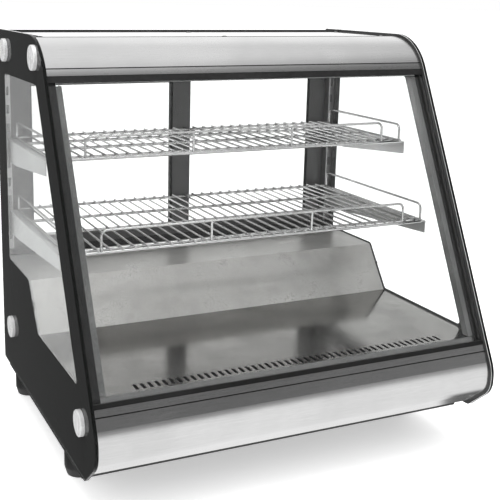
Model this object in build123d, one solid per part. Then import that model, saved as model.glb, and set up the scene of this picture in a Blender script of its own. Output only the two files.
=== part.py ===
from build123d import *
import os
from math import cos, sin, tan, radians

os.makedirs("parts", exist_ok=True)

# Countertop refrigerated display case. Millimetres, +Z up, front facing -Y.
# Origin: centre of the footprint at the underside of the feet.

# ---- driving dimensions: the case ---------------------------------------------------------
panel_span = 690.0          # outer face to outer face of the two side glasses
case_depth = 568.0
case_height = 686.0
panel_bottom = 69.0         # lower edge of the side glasses
pan_bottom = 55.0           # underside of the base pan
deck_level = 198.0          # display deck
step_level = 276.0          # top of the raised step over the machine bay
bay_depth = 258.0           # rear edge of the side glasses to the foot of the step
step_run = 56.0             # depth of the step's incline
front_slope = 26.2          # lean of the front glass from the vertical, degrees
sheet = 1.5                 # folded sheet steel
liner = 1.2                 # stainless liner sheet
foam = 28.0                 # insulation
running = 0.3               # face to face gap between pieces that move past each other

# side glasses
nose_high, nose_low = 151.3, 114.1  # corner heights of the front outline before rounding
chin_slope = 48.0           # lean of the chin from the vertical, degrees
crown_round, nose_round, chin_round, toe_round, rear_round = 96.0, 60.0, 38.0, 14.0, 4.0
least_round = 0.6           # corner radius that is left when an outline moves far inwards
glass = 5.0
glass_clearance = 0.5       # side glass to everything fixed inside it
print_thickness = 0.4       # dark band on the inner face of the side glass
print_margin = 0.5          # bare edge of the glass around the band
window_inset = 63.0         # window's edge behind the front slope and before the rear edge
window_rounds = [6.0, 10.0, 5.0, 8.0, 8.0, 6.0]
window_top_gap, window_low_gap, window_step_gap = 4.0, 3.0, 2.0
cap_radius, cap_height, cap_chamfer = 19.5, 6.0, 0.8
bolt_radius, bolt_clearance = 5.0, 0.6
bolt_anchor = 12.0          # how far a panel bolt reaches past the glass
bolt_pocket = 22.0          # depth of a bolt's hole in what it is screwed to
bolt_top_drop = 34.0        # bolt centres from the edges of the side glass
bolt_crown_setback = 26.9
bolt_rear_inset = 80.0
bolt_front_inset = 65.0
bolt_rise = 84.5

# front and top
shell_inset = 5.0           # canopy and fascia lie this far inside the panel edge
canopy_wall = 2.0
canopy_drop = 58.0          # top edge of the side glass down to the canopy's lower edge
canopy_setback = 62.9       # canopy's back edge behind the crown corner
canopy_trim_height = 10.0
groove_width, groove_depth = 1.6, 0.7
canopy_groove_rise = 9.5
top_drop = 5.5              # top cover below the top edge of the side glass
cover_wall = 1.8
ceiling_drop = 71.0
tray_gap = 0.3              # ceiling tray to the canopy's inner face
fascia_wall = 1.5
fascia_lip_rise = 11.0      # fascia's lower edge above the lower edge of the side glass
fascia_drop = 9.5           # deck down to the fascia's upper edge
fascia_groove_drop = 10.9
ledge_rise = 2.0            # thickness of the fascia's inner ledge
front_glass_inset = 7.6
front_glass_bite = 3.5      # glass below the fascia's upper edge
front_glass_rise = 8.0      # glass above the canopy's lower edge
glass_end_gap = 1.0         # front glass shorter than the space between the side glasses
gasket_rise = 6.0           # gasket's lip above the fascia
gasket_wall = 1.8
bevel_gap, bevel_wall = 0.5, 2.0    # deck's front trim to the gasket, and its thickness
corner_flange, corner_leg, corner_wall = 21.0, 12.4, 1.6
corner_gap = 0.6            # corner profile to the glass's inner face
lamp_half, lamp_width, lamp_front = 290.0, 22.0, -8.0
lamp_rim, lamp_recess = 6.0, 2.0
diffuser_height, housing_height = 6.0, 19.5

# insulated tub and deck
tub_gap = 1.6               # tub to the face of the fixed pieces at the side glass
nose_play = 0.1             # insulated nose behind the deck's front trim
well_wall = 25.5
well_front_inset, well_back_gap = 79.0, 4.0
duct_lead, duct_depth = 2.0, 38.0      # return-air duct under the deck slots
well_floor_rise = 33.0
pan_front_inset = 84.0
pan_front_wall = 35.0       # height of the pan's front flange
pan_side_wall = 45.0
tray_gap_rear = 4.0         # insulated body to the door tracks
deck_play = 0.2
slot_pitch, slot_margin = 11.3, 71.5
slot_width, slot_length, slot_inset = 5.5, 20.0, 47.0
drain_x, drain_rise, drain_bore = -20.0, 10.0, 7.3
pipe_bore = 5.0

# rear tracks and doors
track_inset = 16.0          # rear face of the tracks inside the rear edge of the side glass
track_wall = 2.0
sill_height = 14.0
sill_floor = 4.0            # running surface of the lower channels above the step
head_drop = 46.0            # top of the head track below the top edge of the side glass
head_height = 34.0
head_channel = 16.0
rail_lip = 6.0              # rear rail's lip over the top cover's back edge
rail_gap = 0.2
door_thickness = 10.0
door_play = 0.5             # sideways play of a door in its channel
door_engage = 8.0           # how far a door reaches up into the head channel
door_stile = 36.0
door_rail = 26.0
door_glass = 4.0
door_glass_rim = 7.0        # pane let into the door's frame
jamb_width = 12.3
jamb_wall = 1.5
jamb_slot_width, jamb_slot_height, jamb_slot_pitch = 4.6, 16.0, 32.75
grip_width, grip_height, grip_depth = 18.0, 90.0, 6.0

# shelves and brackets
shelf_wire, shelf_rod = 3.2, 5.0
shelf_pitch = 20.0
shelf_end_gap = 6.0         # shelf to the door tracks
shelf_corner = 8.0
lower_shelf_rise = 93.0     # step to the lower shelf, lower shelf to the upper
upper_shelf_rise = 131.0
upper_shelf_setback, lower_shelf_setback = 85.4, 72.9
guard_height, guard_inset, guard_wire, guard_bend = 31.0, 45.0, 4.0, 10.0
side_rail_height, side_rail_inset = 25.0, 12.0
weld = 0.4                  # wires sink this far into each other where they are welded
wire_end = 0.6              # wire end short of the shelf's outer edge
cross_rods = [0.42, 0.7]    # shares of the shelf's depth
front_rod = 22.0
arm_web, arm_flange = 2.0, 15.0
arm_inset = 8.1             # bracket arm's web inside the face of the fixed pieces
arm_overhang = 11.0         # web outside the shelf's side rod
arm_rear_height, arm_tip_height = 40.0, 22.0
arm_tip_back = 12.0         # arm tip behind the front edge of its shelf
arm_taper = 60.0
hook_reach, hook_play = 5.0, 3.5
arm_gap = 0.1

# feet
foot_radius_top, foot_radius_bottom = 25.0, 21.0
foot_taper_height = 14.0
foot_front_inset, foot_rear_inset = 203.0, 32.0
foot_side_inset = 33.1
foot_gap = 3.0              # thread showing between a foot and the pan
stem_radius, stem_running = 5.0, 0.05
boss_radius, boss_height = 9.5, 12.0
boss_room, boss_room_height = 22.0, 20.0

# cold side
fan_radius, fan_hub, fan_depth = 42.0, 15.0, 18.0
fan_x = 130.0
fan_inset, fan_plate_inset = 42.0, 24.0  # from the back wall of the well
fan_shroud, fan_running = 4.0, 2.0
fan_plate_drop = 14.0
motor_radius = 16.0
coil_height, coil_depth, coil_inset = 80.0, 60.0, 82.0
coil_floor_gap = 8.0
coil_end_inset = 50.0       # centre of the coil's end plates from the side of the well
coil_end = 12.0
fin_pitch, fin_wall, fin_tube = 20.0, 0.8, 3.6
shaft_radius, shaft_running = 2.5, 0.05
left_pipe_rise, right_pipe_rise = 78.0, 22.0

# machine bay
bay_inset = 134.0           # compressor's centre before the rear edge of the side glass
compressor_inset = 134.1    # and in from the side
compressor_radius, compressor_height = 66.0, 147.0
base_half_x, base_half_y, base_plate = 92.0, 62.0, 3.4
mount_x, mount_y = 78.0, 50.0
mount_height, mount_radius, mount_stem = 13.0, 10.0, 5.0
mount_bore = 5.3
relay_reach, relay_half, relay_height = 26.0, 24.0, 40.0
port_reach, port_radius = 14.0, 5.0
condenser_inset = 169.1     # condenser's centre in from the side
condenser_half, condenser_depth, condenser_height = 105.0, 36.0, 161.5
condenser_foot = 14.0
condenser_end = 10.0
condenser_gap = 8.8         # condenser to the rear panel
condenser_pitch = 15.0
condenser_rows = [0.12, 0.38, 0.64, 0.9]
condenser_columns = [0.3, 0.72]
condenser_fan_radius, condenser_hub, condenser_fan_depth = 68.0, 20.0, 22.0
condenser_fan_inset = 28.0  # fan's centre before the condenser
condenser_fan_rise = 97.0
shroud_gap, shroud_wall, shroud_ring, shroud_running = 12.0, 2.0, 7.0, 5.0
condenser_motor_radius, condenser_motor_length = 24.0, 38.0
suction_radius, line_radius, line_bend = 4.0, 3.6, 7.0
drip_gap, drip_depth, drip_width, drip_height, drip_wall = 20.0, 120.0, 90.0, 26.0, 2.0
drain_radius, drain_bend = 7.0, 12.0

# rear panel and controls
panel_gap = 3.7             # rear panel before the tracks' rear face
vent_height, vent_pitch, vent_low = 5.0, 11.5, 27.0
condenser_vents, compressor_vents = 13, 8
controls_x, controls_drop = -150.0, 54.0
controls_width, controls_height = 170.0, 44.0
bezel_wall, bezel_round, bezel_rim, box_depth = 4.0, 4.0, 4.0, 24.0
display_offset, display_width, display_height, display_sink = -48.0, 48.0, 24.0, 1.5
button_offsets = [-10.0, 6.0, 22.0]
button_radius, button_travel, button_gap = 5.0, 1.5, 0.3
button_stand, button_root = 2.0, 10.0
rocker_offsets = [44.0, 66.0]
rocker_width, rocker_height, rocker_gap = 13.0, 22.0, 0.4
rocker_swing = 12.0
rocker_pivot_depth = 5.0
rocker_depth = 12.0
gland_x = 20.0
gland_bore, gland_body, gland_head, gland_nut = 4.2, 8.0, 12.0, 11.0
gland_height, gland_root = 7.0, 8.0

# ---- derived places -----------------------------------------------------------------------
far = 1000.0                # past every face of the case
front_lean, chin_lean = tan(radians(front_slope)), tan(radians(chin_slope))
panel_face = panel_span / 2
inside_face = panel_face - glass
fixed_half = inside_face - print_thickness - glass_clearance
rear_y, front_y = case_depth / 2, -case_depth / 2
crown_y = front_y + (case_height - nose_high) * front_lean
toe_y = front_y + (nose_low - panel_bottom) * chin_lean
pan_top = pan_bottom + sheet

canopy_low = case_height - canopy_drop
trim_low = canopy_low - canopy_trim_height
canopy_back = crown_y + canopy_setback
top_surface = case_height - top_drop
ceiling_level = case_height - ceiling_drop
fascia_top = deck_level - fascia_drop
fascia_lip = panel_bottom + fascia_lip_rise
gasket_top = fascia_top + gasket_rise
front_glass_low = fascia_top - front_glass_bite
front_glass_high = canopy_low + front_glass_rise
glass_in = front_glass_inset + glass
bevel_outer = glass_in + gasket_wall + bevel_gap
bevel_inner = bevel_outer + bevel_wall
lamp_back = lamp_front + lamp_width

step_foot = rear_y - bay_depth
step_crest = step_foot + step_run
tub_half = fixed_half - tub_gap
tub_front_inset = bevel_inner + nose_play
deck_half = tub_half - 1.0
well_half = tub_half - well_wall
well_front, well_back = front_y + well_front_inset, step_foot - well_back_gap
well_floor = pan_bottom + well_floor_rise
pan_front = front_y + pan_front_inset
drain_z = well_floor + drain_rise
drip_front = well_back + foam + drip_gap
slot_count = int(2 * (tub_half - slot_margin) / slot_pitch) + 1
slot_front = front_y + slot_inset

channel = door_thickness + 2 * door_play
track_back = rear_y - track_inset
track_front = track_back - 3 * track_wall - 2 * channel
tray_back = track_front - tray_gap_rear
pan_back = track_back - track_wall
inner_track_y = track_front + track_wall
outer_track_y = inner_track_y + channel + track_wall
sill_top = step_level + sill_height
head_high = case_height - head_drop
head_low = head_high - head_height
door_open_half = fixed_half - jamb_width
door_half = door_open_half - door_play
door_width = door_half + door_stile / 2

arm_offset = fixed_half - arm_inset
slot_x = arm_offset + arm_web / 2
shelf_half = arm_offset - arm_overhang
guard_half = shelf_half - guard_inset
shelf_back = track_front - shelf_end_gap
lower_shelf_level = step_level + lower_shelf_rise
upper_shelf_level = lower_shelf_level + upper_shelf_rise
lower_shelf_front = front_y + (lower_shelf_level - nose_high) * front_lean + lower_shelf_setback
upper_shelf_front = front_y + (upper_shelf_level - nose_high) * front_lean + upper_shelf_setback

foot_positions = {"front": front_y + foot_front_inset, "rear": rear_y - foot_rear_inset}
foot_x = fixed_half - foot_side_inset
panel_bolts = [
    (rear_y - bolt_rear_inset, case_height - bolt_top_drop),
    (crown_y + bolt_crown_setback, case_height - bolt_top_drop),
    (rear_y - bolt_rear_inset, panel_bottom + bolt_rise),
    (front_y + bolt_front_inset, panel_bottom + bolt_rise),
]

fan_y = well_back - fan_inset
fan_plate_y = well_back - fan_plate_inset
fan_z = (well_floor + deck_level) / 2 - fan_shroud
coil_back = well_back - coil_inset
coil_front = coil_back - coil_depth
coil_low = well_floor + coil_floor_gap
coil_high = coil_low + coil_height
coil_end_x = well_half - coil_end_inset
left_pipe = (-coil_end_x, well_floor + left_pipe_rise)
right_pipe = (coil_end_x, well_floor + right_pipe_rise)

panel_back = track_back - panel_gap
panel_front = panel_back - sheet
compressor_x, compressor_y = compressor_inset - fixed_half, rear_y - bay_inset
condenser_fan_x = fixed_half - condenser_inset
condenser_back = panel_front - condenser_gap
condenser_front = condenser_back - condenser_depth
condenser_high = pan_top + condenser_foot + condenser_height
condenser_fan_y = condenser_front - condenser_fan_inset
condenser_fan_z = pan_bottom + condenser_fan_rise

controls_z = step_level - controls_drop
gland_z = controls_z
bezel_face = panel_back + bezel_wall
display_x = controls_x + display_offset
button_x = [controls_x + offset for offset in button_offsets]
rocker_x = [controls_x + offset for offset in rocker_offsets]


def save(name, shape):
    export_step(shape, os.path.join("parts", name + ".step"))


def area(points, corner_radii=None):
    """Face from (y, z) points, with one corner radius for each point when given."""
    if corner_radii is None:
        return make_face(Polyline(*points, close=True))
    return make_face(FilletPolyline(*points, radius=corner_radii, close=True))


def prism(face, low_x, high_x):
    """Extrudes a (y, z) face along X between two stations."""
    return extrude(Plane.YZ.offset(low_x) * face, amount=high_x - low_x, dir=(1, 0, 0))


def full_prism(face, half):
    """Extrudes a (y, z) face along X, the same distance to both sides."""
    return prism(face, -half, half)


def block(low, high):
    size = [high[i] - low[i] for i in range(3)]
    centre = [(high[i] + low[i]) / 2 for i in range(3)]
    return Pos(*centre) * Box(*size)


def rod(start, end, radius):
    axis = Vector(*end) - Vector(*start)
    plane = Plane(origin=start, z_dir=axis)
    return extrude(plane * Circle(radius), amount=axis.length)


def rod_x(low_x, high_x, spot, radius):
    return rod((low_x, *spot), (high_x, *spot), radius)


def rod_y(x, low_y, high_y, z, radius):
    return rod((x, low_y, z), (x, high_y, z), radius)


def tube_run(points, bend, radius):
    """Round bar along straight runs joined by tangent arcs."""
    path = FilletPolyline(*points, radius=bend)
    return sweep((path ^ 0) * Circle(radius), path=path)


def mirrored(shape):
    return mirror(shape, Plane.YZ)


def with_mirror(shapes):
    return shapes + [mirrored(shape) for shape in shapes]


def slope_y(height, inset):
    """Y of the front slope at a height, moved square to the slope into the case."""
    return front_y + (height - nose_high) * front_lean + inset / cos(radians(front_slope))


def slope_quad(inset_out, inset_in, low, high):
    return area([
        (slope_y(low, inset_out), low), (slope_y(high, inset_out), high),
        (slope_y(high, inset_in), high), (slope_y(low, inset_in), low),
    ])


def groove_quad(low):
    return slope_quad(shell_inset - 1, shell_inset + groove_depth, low, low + groove_width)


def outline(inset, bottom=None):
    """Side outline of the case, every edge moved inwards; bottom sets the lower edge's height."""
    corners = [
        Vector(rear_y, panel_bottom), Vector(rear_y, case_height), Vector(crown_y, case_height),
        Vector(front_y, nose_high), Vector(front_y, nose_low), Vector(toe_y, panel_bottom),
    ]
    rounds = [rear_round, rear_round, crown_round, nose_round, chin_round, toe_round]
    moved = []
    for i, corner in enumerate(corners):
        before = (corner - corners[i - 1]).normalized()
        after = (corners[(i + 1) % len(corners)] - corner).normalized()
        normal_before = Vector(-before.Y, before.X)
        normal_after = Vector(-after.Y, after.X)
        share = inset / (1 + normal_before.dot(normal_after))
        moved.append(corner + (normal_before + normal_after) * share)
    if bottom is not None:
        chin = (moved[5] - moved[4]).normalized()
        moved[5] = moved[4] + chin * ((bottom - moved[4].Y) / chin.Y)
        moved[0] = Vector(moved[0].X, bottom)
    radii = [max(r - inset, least_round) for r in rounds]
    return area([(p.X, p.Y) for p in moved], radii)


def between(face, low_y, high_y, low_z, high_z):
    """The part of a (y, z) face inside a rectangle."""
    window = area([(low_y, low_z), (high_y, low_z), (high_y, high_z), (low_y, high_z)])
    return face & window


# ---- side glasses, their dark band and bolts ----------------------------------------------
def window_face():
    top, low = ceiling_level - window_top_gap, deck_level + window_low_gap
    rear, step_top = rear_y - window_inset, step_level + window_step_gap
    points = [
        (rear, top), (slope_y(top, 0) + window_inset, top), (slope_y(low, 0) + window_inset, low),
        (step_foot, low), (step_crest, step_top), (rear, step_top),
    ]
    return area(points, window_rounds)


def bolt_row(low_x, high_x, radius):
    return [rod_x(low_x, high_x, spot, radius) for spot in panel_bolts]


def bolt_pockets(half):
    """Clear holes for the panel bolts from the outer faces of something half wide."""
    return with_mirror(bolt_row(half - bolt_pocket, half + 2, bolt_radius + bolt_clearance))


def side_parts():
    pane = prism(outline(0.0), inside_face, panel_face)
    pane -= bolt_row(inside_face - 1, panel_face + 1, bolt_radius + bolt_clearance)
    band = prism(outline(print_margin) - window_face(), inside_face - print_thickness, inside_face)
    band -= bolt_row(inside_face - 2, panel_face, bolt_radius + bolt_clearance)
    bolts = []
    for spot in panel_bolts:
        cap = rod_x(panel_face, panel_face + cap_height, spot, cap_radius)
        cap = chamfer(cap.faces().sort_by(Axis.X)[-1].edges(), cap_chamfer)
        bolts.append(cap + rod_x(inside_face - bolt_anchor, panel_face, spot, bolt_radius))
    for side, pane_i, band_i, bolts_i in (
        ("right", pane, band, bolts),
        ("left", mirrored(pane), mirrored(band), [mirrored(b) for b in bolts]),
    ):
        save(f"side_glass_{side}", pane_i)
        save(f"side_border_{side}", band_i)
        save(f"panel_bolts_{side}", Compound(children=bolts_i))


# ---- base: pan, feet, insulated tub -------------------------------------------------------
def foot_spots():
    return [(x, y) for y in foot_positions.values() for x in (-foot_x, foot_x)]


def base_pan():
    bay_wall = step_level - tub_gap - foam
    low_wall = pan_bottom + pan_side_wall
    bay_front = step_foot + foam
    side = area([
        (pan_front, pan_bottom), (pan_back, pan_bottom), (pan_back, bay_wall),
        (bay_front, bay_wall), (bay_front, low_wall), (pan_front, low_wall),
    ])
    pan = block((-fixed_half, pan_front, pan_bottom), (fixed_half, pan_back, pan_top))
    wall = prism(side, tub_half, fixed_half)
    pan += wall + mirrored(wall)
    pan += block((-fixed_half, pan_front, pan_bottom),
                 (fixed_half, pan_front + sheet, pan_bottom + pan_front_wall))
    boss_top = pan_bottom + boss_height
    for spot in foot_spots():
        pan += rod((*spot, pan_bottom), (*spot, boss_top), boss_radius)
    # air intakes under the condenser fan
    intakes, intake_pitch, intake_half = 9, 15.0, 3.0
    intake_front, intake_back = well_back + foam + 25.0, condenser_fan_y - 55.0
    for i in range(intakes):
        x = condenser_fan_x + (i - (intakes - 1) / 2) * intake_pitch
        pan -= block((x - intake_half, intake_front, pan_bottom - 1),
                     (x + intake_half, intake_back, pan_top + 1))
    for spot in foot_spots():
        pan -= rod((*spot, pan_bottom - 1), (*spot, boss_top + 1), stem_radius + stem_running)
    pan -= bolt_pockets(fixed_half)
    save("base_pan", pan)


def feet():
    top = pan_bottom - foot_gap
    profile = make_face(FilletPolyline(
        (0, 0), (foot_radius_bottom, 0), (foot_radius_top, foot_taper_height), (foot_radius_top, top),
        (0, top), radius=[0, 2, 6, 3, 0], close=True))
    pad = revolve(Plane.XZ * profile, axis=Axis.Z)
    foot = pad + rod((0, 0, top), (0, 0, pan_bottom + boss_height + 4), stem_radius)
    for end, y in foot_positions.items():
        save(f"foot_{end}_left", Pos(-foot_x, y, 0) * foot)
        save(f"foot_{end}_right", Pos(foot_x, y, 0) * foot)


def insulated_tub():
    rim, top = deck_level - liner, step_level - liner
    tub_front, tub_back = pan_front + sheet, tray_back + 4
    crest_back, bay_roof = step_crest + 16, top - foam
    well_outer = well_back + foam
    nose = between(outline(tub_front_inset, pan_bottom + pan_front_wall), -far, tub_front + 8.5, 0, rim)
    main = area([
        (tub_front, pan_top), (well_outer, pan_top), (well_outer, deck_level - 18),
        (crest_back, bay_roof), (tub_back, bay_roof),
        (tub_back, top), (step_crest, top), (step_foot, rim), (tub_front, rim),
    ])
    front_foot = foot_positions["front"]
    boss_clear = [block((s * foot_x - boss_room, front_foot - boss_room, pan_top - 1),
                        (s * foot_x + boss_room, front_foot + boss_room, pan_bottom + boss_room_height))
                  for s in (-1, 1)]
    tub = full_prism(nose, tub_half) + full_prism(main, tub_half)
    tub -= block((-well_half, well_front, well_floor), (well_half, well_back, deck_level + 5))
    # return-air duct: the deck slots open into it, and it opens into the well
    tub -= block((-well_half, slot_front - duct_lead, deck_level - duct_depth),
                 (well_half, well_front + 1, deck_level + 5))
    tub -= boss_clear
    # drain and refrigerant passages through the wall behind the well
    tub -= rod_y(drain_x, well_back - 1, well_outer + 1, drain_z, drain_bore)
    for x, z in (left_pipe, right_pipe):
        tub -= rod_y(x, well_back - 1, well_outer + 1, z, pipe_bore)
    tub -= bolt_pockets(tub_half)
    save("insulated_tub", tub)


# ---- display deck -------------------------------------------------------------------------
def deck_parts():
    front = slope_y(deck_level, bevel_inner) + deck_play
    deck = block((-deck_half, front, deck_level - liner), (deck_half, step_foot, deck_level))
    r = slot_width / 2
    low, high = deck_level - 5, deck_level + 5
    near, rear = slot_front + r, slot_front + slot_length - r
    slots = []
    for i in range(slot_count):
        x = (i - (slot_count - 1) / 2) * slot_pitch
        slots.append(block((x - r, near, low), (x + r, rear, high)))
        slots += [rod((x, end, low), (x, end, high), r) for end in (near, rear)]
    deck -= slots
    save("deck_plate", deck)
    bevel = slope_quad(bevel_outer, bevel_inner, front_glass_low - 2.5, deck_level)
    save("deck_front_trim", full_prism(bevel, deck_half))
    cover_back = track_front - deck_play
    cover = area([
        (step_foot, deck_level - liner), (step_crest, step_level - liner),
        (cover_back, step_level - liner), (cover_back, step_level),
        (step_crest - liner / 2, step_level), (step_foot, deck_level + liner / 3),
    ])
    save("step_cover", full_prism(cover, deck_half))


# ---- front: fascia, gasket, glass, corner profiles ----------------------------------------
def front_parts():
    half = fixed_half
    seat_low = front_glass_low - 3.0
    face = outline(shell_inset, fascia_lip) - outline(shell_inset + fascia_wall, fascia_lip + fascia_wall)
    shell = between(face, -far, pan_front, 0, fascia_top)
    ledge = slope_quad(shell_inset + fascia_wall - 0.2, tub_front_inset - nose_play,
                       seat_low - ledge_rise, seat_low)
    fascia = full_prism(shell, half) + full_prism(ledge, half)
    save("front_fascia", fascia - full_prism(groove_quad(fascia_top - fascia_groove_drop), half + 1))

    web_out = shell_inset + fascia_wall + 0.05
    gasket = full_prism(slope_quad(shell_inset + 0.4, front_glass_inset, fascia_top + 0.2, gasket_top), half)
    for quad in (
        slope_quad(web_out, front_glass_inset, seat_low, gasket_top),
        slope_quad(web_out, glass_in + gasket_wall, seat_low, front_glass_low),
        slope_quad(glass_in, glass_in + gasket_wall, seat_low, front_glass_low + 2.5),
    ):
        gasket += full_prism(quad, half)
    save("front_glass_gasket", gasket)

    pane = slope_quad(front_glass_inset, glass_in, front_glass_low, front_glass_high)
    save("front_glass", full_prism(pane, half - glass_end_gap))

    low, high = deck_level + 2, ceiling_level - 3
    near = glass_in + corner_gap
    outer = half - glass_end_gap
    leg_x = outer - corner_flange + 1.0
    flange = prism(slope_quad(near, near + corner_wall, low, high), leg_x, outer)
    leg = prism(slope_quad(near, near + corner_leg, low, high), leg_x - corner_wall, leg_x)
    profile = flange + leg
    save("corner_profiles", Compound(children=[profile, mirrored(profile)]))


# ---- top: canopy, trim, cover, rear rail, ceiling tray, lamp ------------------------------
def top_parts():
    half = fixed_half
    skin = outline(shell_inset) - outline(shell_inset + canopy_wall)
    skin = between(skin, -far, canopy_back, canopy_low, case_height)
    groove = full_prism(groove_quad(canopy_low + canopy_groove_rise), half + 1)
    save("canopy", full_prism(skin, half) - groove)

    strip = slope_quad(shell_inset + 0.5, front_glass_inset, trim_low, canopy_low)
    save("canopy_trim", full_prism(strip, half))

    rail_lip_y = tray_back - rail_lip
    cover_low = top_surface - cover_wall
    save("top_cover", block((-half, canopy_back, cover_low), (half, rail_lip_y, top_surface)))

    rail_front = tray_back + rail_gap
    rail = block((-half, rail_front, head_high), (half, track_back, top_surface))
    rail -= block((-half - 1, rail_front + track_wall, head_high + track_wall),
                  (half + 1, track_back - track_wall, top_surface - track_wall))
    rail += block((-half, rail_lip_y, cover_low), (half, rail_front, top_surface))
    save("rear_top_rail", rail)

    upper = between(outline(shell_inset + canopy_wall + tray_gap), -far, tray_back, front_glass_high + 4,
                    cover_low)
    lower = between(outline(glass_in + corner_gap), -far, tray_back, ceiling_level, front_glass_high + 6)
    tray = full_prism(upper, half) + full_prism(lower, half)
    tray -= block((-half + sheet, -far, ceiling_level + sheet), (half - sheet, tray_back - sheet, far))
    tray -= block((-lamp_half - lamp_recess, lamp_front - lamp_recess, ceiling_level - 2),
                  (lamp_half + lamp_recess, lamp_back + lamp_recess, ceiling_level + 5))
    tray -= bolt_pockets(half)
    save("ceiling_tray", tray)

    flange_z = ceiling_level + sheet
    housing = block((-lamp_half - lamp_rim, lamp_front - lamp_rim, flange_z),
                    (lamp_half + lamp_rim, lamp_back + lamp_rim, flange_z + housing_height))
    housing -= block((-lamp_half, lamp_front, flange_z - 1),
                     (lamp_half, lamp_back, flange_z + housing_height - lamp_recess))
    save("lamp_housing", housing)
    save("lamp_diffuser", block((-lamp_half, lamp_front, ceiling_level),
                                (lamp_half, lamp_back, ceiling_level + diffuser_height)))


# ---- rear: tracks, jambs, sliding doors ---------------------------------------------------
def channel_cuts(low_z, high_z):
    return [block((-far, y, low_z), (far, y + channel, high_z)) for y in (inner_track_y, outer_track_y)]


def slot_station(i):
    """Lower end of one slot of the jamb; one of them takes each bracket's hook."""
    return lower_shelf_level - 28.0 + (i - 1) * jamb_slot_pitch


def track_parts():
    sill = block((-fixed_half, track_front, step_level), (fixed_half, track_back, sill_top))
    sill -= channel_cuts(step_level + sill_floor, sill_top + 1)
    save("lower_door_track", sill)
    head = block((-fixed_half, track_front, head_low), (fixed_half, track_back, head_high))
    head -= channel_cuts(head_low - 1, head_low + head_channel)
    save("upper_door_track", head)

    jamb = block((door_open_half, track_front, sill_top), (fixed_half, track_back, head_low))
    jamb -= block((door_open_half + jamb_wall, track_front + jamb_wall, sill_top - 1),
                  (fixed_half - jamb_wall, track_back + 1, head_low + 1))
    r = jamb_slot_width / 2
    count = int((head_low - slot_station(0) - jamb_slot_height) / jamb_slot_pitch) + 1
    for i in range(count):
        z = slot_station(i)
        jamb -= block((slot_x - r, track_front - 1, z),
                      (slot_x + r, track_front + jamb_wall + 1, z + jamb_slot_height))
    save("rear_jamb_right", jamb)
    save("rear_jamb_left", mirrored(jamb))


def door_parts():
    low = step_level + sill_floor + running
    high = head_low + door_engage
    mid_z = (low + high) / 2
    for side, low_x, track_y in (
        ("left", -door_half, inner_track_y),
        ("right", door_half - door_width, outer_track_y),
    ):
        high_x = low_x + door_width
        front, back = track_y + door_play, track_y + door_play + door_thickness
        frame = block((low_x, front, low), (high_x, back, high))
        open_low = (low_x + door_stile, low + door_rail)
        open_high = (high_x - door_stile, high - door_rail)
        frame -= block((open_low[0], front - 1, open_low[1]), (open_high[0], back + 1, open_high[1]))
        mid = (front + back) / 2
        pane = block((open_low[0] - door_glass_rim, mid - door_glass / 2, open_low[1] - door_glass_rim),
                     (open_high[0] + door_glass_rim, mid + door_glass / 2, open_high[1] + door_glass_rim))
        grip_x = low_x + door_stile / 2 if side == "left" else high_x - door_stile / 2
        frame -= pane
        frame -= block((grip_x - grip_width / 2, back - grip_depth, mid_z - grip_height / 2),
                       (grip_x + grip_width / 2, back + 1, mid_z + grip_height / 2))
        save(f"door_frame_{side}", frame)
        save(f"door_glass_{side}", pane)


# ---- shelves and brackets -----------------------------------------------------------------
def shelf(name, front, level):
    """Wire shelf: long wires welded on cross rods, side rods at the rods' level, raised guard."""
    r = shelf_rod / 2
    rod_z = level - shelf_wire / 2 - r + weld
    depth = shelf_back - front
    near, rear = front + r, shelf_back - r
    loop = FilletPolyline((-shelf_half, near, rod_z), (shelf_half, near, rod_z), (shelf_half, rear, rod_z),
                          (-shelf_half, rear, rod_z), radius=shelf_corner, close=True)
    pieces = [sweep((loop ^ 0) * Circle(r), path=loop)]
    for y in [front + front_rod] + [front + depth * share for share in cross_rods]:
        pieces.append(rod_x(-shelf_half, shelf_half, (y, rod_z), r))
    count = int(2 * (shelf_half - front_rod / 2) / shelf_pitch) + 1
    for i in range(count):
        x = (i - (count - 1) / 2) * shelf_pitch
        pieces.append(rod_y(x, front + wire_end, shelf_back - wire_end, level, shelf_wire / 2))
    save(f"{name}_shelf_grid", pieces[0].fuse(*pieces[1:]))

    g = guard_wire / 2
    top, foot = level + guard_height, rod_z + r
    loop = tube_run([(-guard_half, near, foot), (-guard_half, near, top), (guard_half, near, top),
                     (guard_half, near, foot)], guard_bend, g)
    posts = [rod((x, near, foot), (x, near, top), g) for x in (-guard_half / 3, guard_half / 3)]
    rail_top = level + side_rail_height
    rail_front, rail_back = front + side_rail_inset, shelf_back - side_rail_inset + 2
    rails = [tube_run([(x, rail_front, foot), (x, rail_front, rail_top), (x, rail_back, rail_top),
                       (x, rail_back, foot)], guard_bend, g) for x in (-shelf_half, shelf_half)]
    save(f"{name}_shelf_guard", Compound(children=[loop.fuse(*posts)] + rails))


def brackets(name, front, level):
    top = level - shelf_wire / 2 + weld - shelf_rod - running
    tip_y, base_y = front + arm_tip_back, track_front - arm_gap
    low = top - arm_rear_height
    outer = arm_offset + arm_web
    web = area([(base_y, top), (tip_y, top), (tip_y, top - arm_tip_height), (base_y - arm_taper, low),
                (base_y, low)])
    arm = prism(web, arm_offset, outer)
    arm += block((outer - arm_flange, tip_y, top - arm_web), (outer, base_y, top))
    station = min((slot_station(i) for i in range(12)), key=lambda z: abs(z - low - 10))
    arm += block((arm_offset, base_y - 1, station + 0.5),
                 (outer, track_front + hook_reach, station + jamb_slot_height - hook_play))
    save(f"{name}_shelf_brackets", Compound(children=[arm, mirrored(arm)]))


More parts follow.
